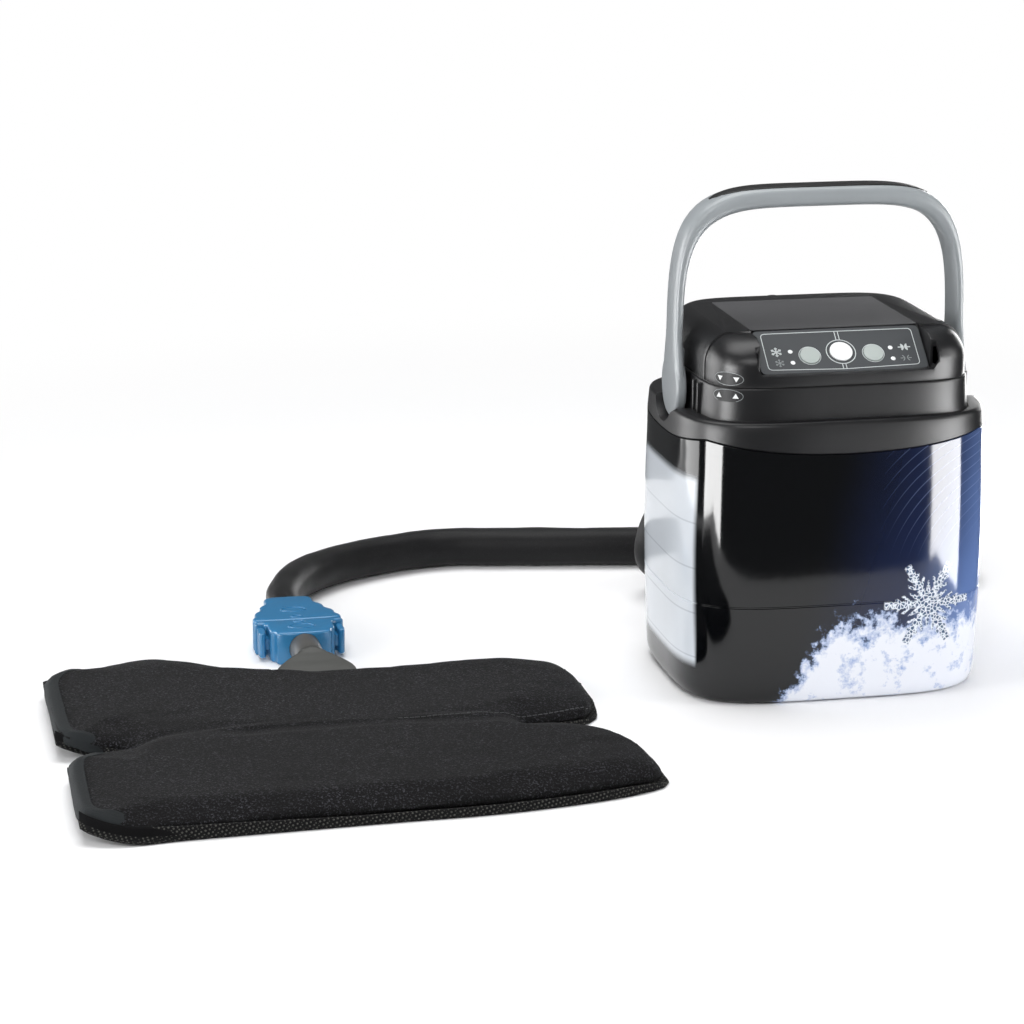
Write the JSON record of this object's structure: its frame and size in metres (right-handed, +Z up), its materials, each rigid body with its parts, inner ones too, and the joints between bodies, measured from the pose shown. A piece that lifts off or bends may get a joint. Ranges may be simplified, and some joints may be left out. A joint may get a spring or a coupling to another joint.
{
  "type": "hot cold therapy machine",
  "caption": "Carry-handled cold and compression therapy cooler with a pump lid, keys, sleeved hose, quick coupling and a padded wrap.",
  "frame": {"origin": "centre of the rubber pad's underside, where the cooler stands on the floor", "axes": "+Z up, +X to the right seen from the control panel, the panel faces -Y"},
  "size_m": [0.7772, 0.624, 0.3602],
  "materials": {
    "printed_shell": "glossy printed film over moulded plastic",
    "foam": "rigid foam",
    "tub": "smooth moulded liner",
    "black_plastic": "fine satin texture",
    "rubber": "matt",
    "pin_steel": "turned",
    "hose_sleeve": "satin woven sleeve",
    "blue_plastic": "glossy",
    "panel_film": "satin printed film",
    "light_lens": "clear lens over white light",
    "label_film": "satin film",
    "board": "solder mask",
    "component_black": "moulded",
    "motor_can": "drawn can",
    "clear_tube": "soft clear tube",
    "filter_plastic": "moulded",
    "white_plastic": "moulded",
    "cam_brass": "turned",
    "key_grey": "satin",
    "key_white": "satin",
    "handle_grey": "satin",
    "grip_rubber": "soft touch",
    "grey_tube": "satin",
    "wrap_fabric": "brushed loop fabric",
    "bladder_film": "coated nylon",
    "lining_fabric": "perforated mesh",
    "hem_fabric": "woven binding"
  },
  "bodies": {
    "cooler": {"outer_shell": "printed_shell", "insulation_foam": "foam", "ice_tub": "tub", "neck_collar": "black_plastic", "base_pad": "rubber", "left_pivot_pin": "pin_steel", "right_pivot_pin": "pin_steel", "hose": "hose_sleeve", "hose_coupling": "blue_plastic"},
    "lid": {"lid_base": "black_plastic", "lid_cover": "black_plastic", "control_panel": "panel_film", "indicator_lights": "light_lens", "top_label": "label_film", "lid_seal": "rubber", "circuit_board": "board", "key_switches": "component_black", "water_pump_motor": "component_black", "pump_volute": "component_black", "suction_tube": "clear_tube", "pump_filter": "filter_plastic", "air_pump_motor": "motor_can", "air_pump_head": "component_black", "valve_block": "component_black", "water_line": "clear_tube", "air_line": "clear_tube", "hose_outlet": "black_plastic", "power_jack": "black_plastic", "lid_screws": "pin_steel"},
    "impeller": {"pump_impeller": "white_plastic"},
    "air_cam": {"air_pump_cam": "cam_brass"},
    "cold_key": {"cold_key": "key_grey"},
    "power_key": {"power_key": "key_white"},
    "compression_key": {"compression_key": "key_grey"},
    "handle": {"carry_handle": "handle_grey", "grip_insert": "grip_rubber"},
    "wrap": {"wrap_coupling": "blue_plastic", "coupling_nipples": "white_plastic", "wrap_tube": "grey_tube", "wrap_flange": "grey_tube", "wrap_cover": "wrap_fabric", "wrap_bladder": "bladder_film", "wrap_lining": "lining_fabric", "wrap_hem": "hem_fabric"},
    "left_latch": {"left_latch": "blue_plastic"},
    "right_latch": {"right_latch": "blue_plastic"}
  },
  "joints": [
    {"name": "handle_fold", "type": "hinge", "parent": "cooler", "child": "handle", "pos_m": [0, 0, 0.218], "axis": [1, 0, 0], "range_deg": [-60, 75]},
    {"name": "lid_lift", "type": "slide", "parent": "cooler", "child": "lid", "axis": [0, 0, 1], "range_m": [0, 0.055]},
    {"name": "impeller_spin", "type": "hinge", "parent": "lid", "child": "impeller", "pos_m": [0, 0.03, 0.17], "axis": [0, 0, 1], "continuous": true},
    {"name": "air_cam_spin", "type": "hinge", "parent": "lid", "child": "air_cam", "pos_m": [-0.03, 0.042, 0.236], "axis": [1, 0, 0], "continuous": true},
    {"name": "cold_key_press", "type": "slide", "parent": "lid", "child": "cold_key", "axis": [0, 0.6428, -0.766], "range_m": [0, 0.0008], "stiffness_N_per_m": 400, "springref_m": -0.0005},
    {"name": "power_key_press", "type": "slide", "parent": "lid", "child": "power_key", "axis": [0, 0.6428, -0.766], "range_m": [0, 0.0008], "stiffness_N_per_m": 400, "springref_m": -0.0005},
    {"name": "compression_key_press", "type": "slide", "parent": "lid", "child": "compression_key", "axis": [0, 0.6428, -0.766], "range_m": [0, 0.0008], "stiffness_N_per_m": 400, "springref_m": -0.0005},
    {"name": "wrap_release", "type": "slide", "parent": "cooler", "child": "wrap", "axis": [0, -1, 0], "range_m": [0, 0.03]},
    {"name": "left_latch_press", "type": "slide", "parent": "wrap", "child": "left_latch", "axis": [1, 0, 0], "range_m": [0, 0.002], "stiffness_N_per_m": 600, "springref_m": -0.0005},
    {"name": "right_latch_press", "type": "slide", "parent": "wrap", "child": "right_latch", "axis": [-1, 0, 0], "range_m": [0, 0.002], "stiffness_N_per_m": 600, "springref_m": -0.0005}
  ]
}
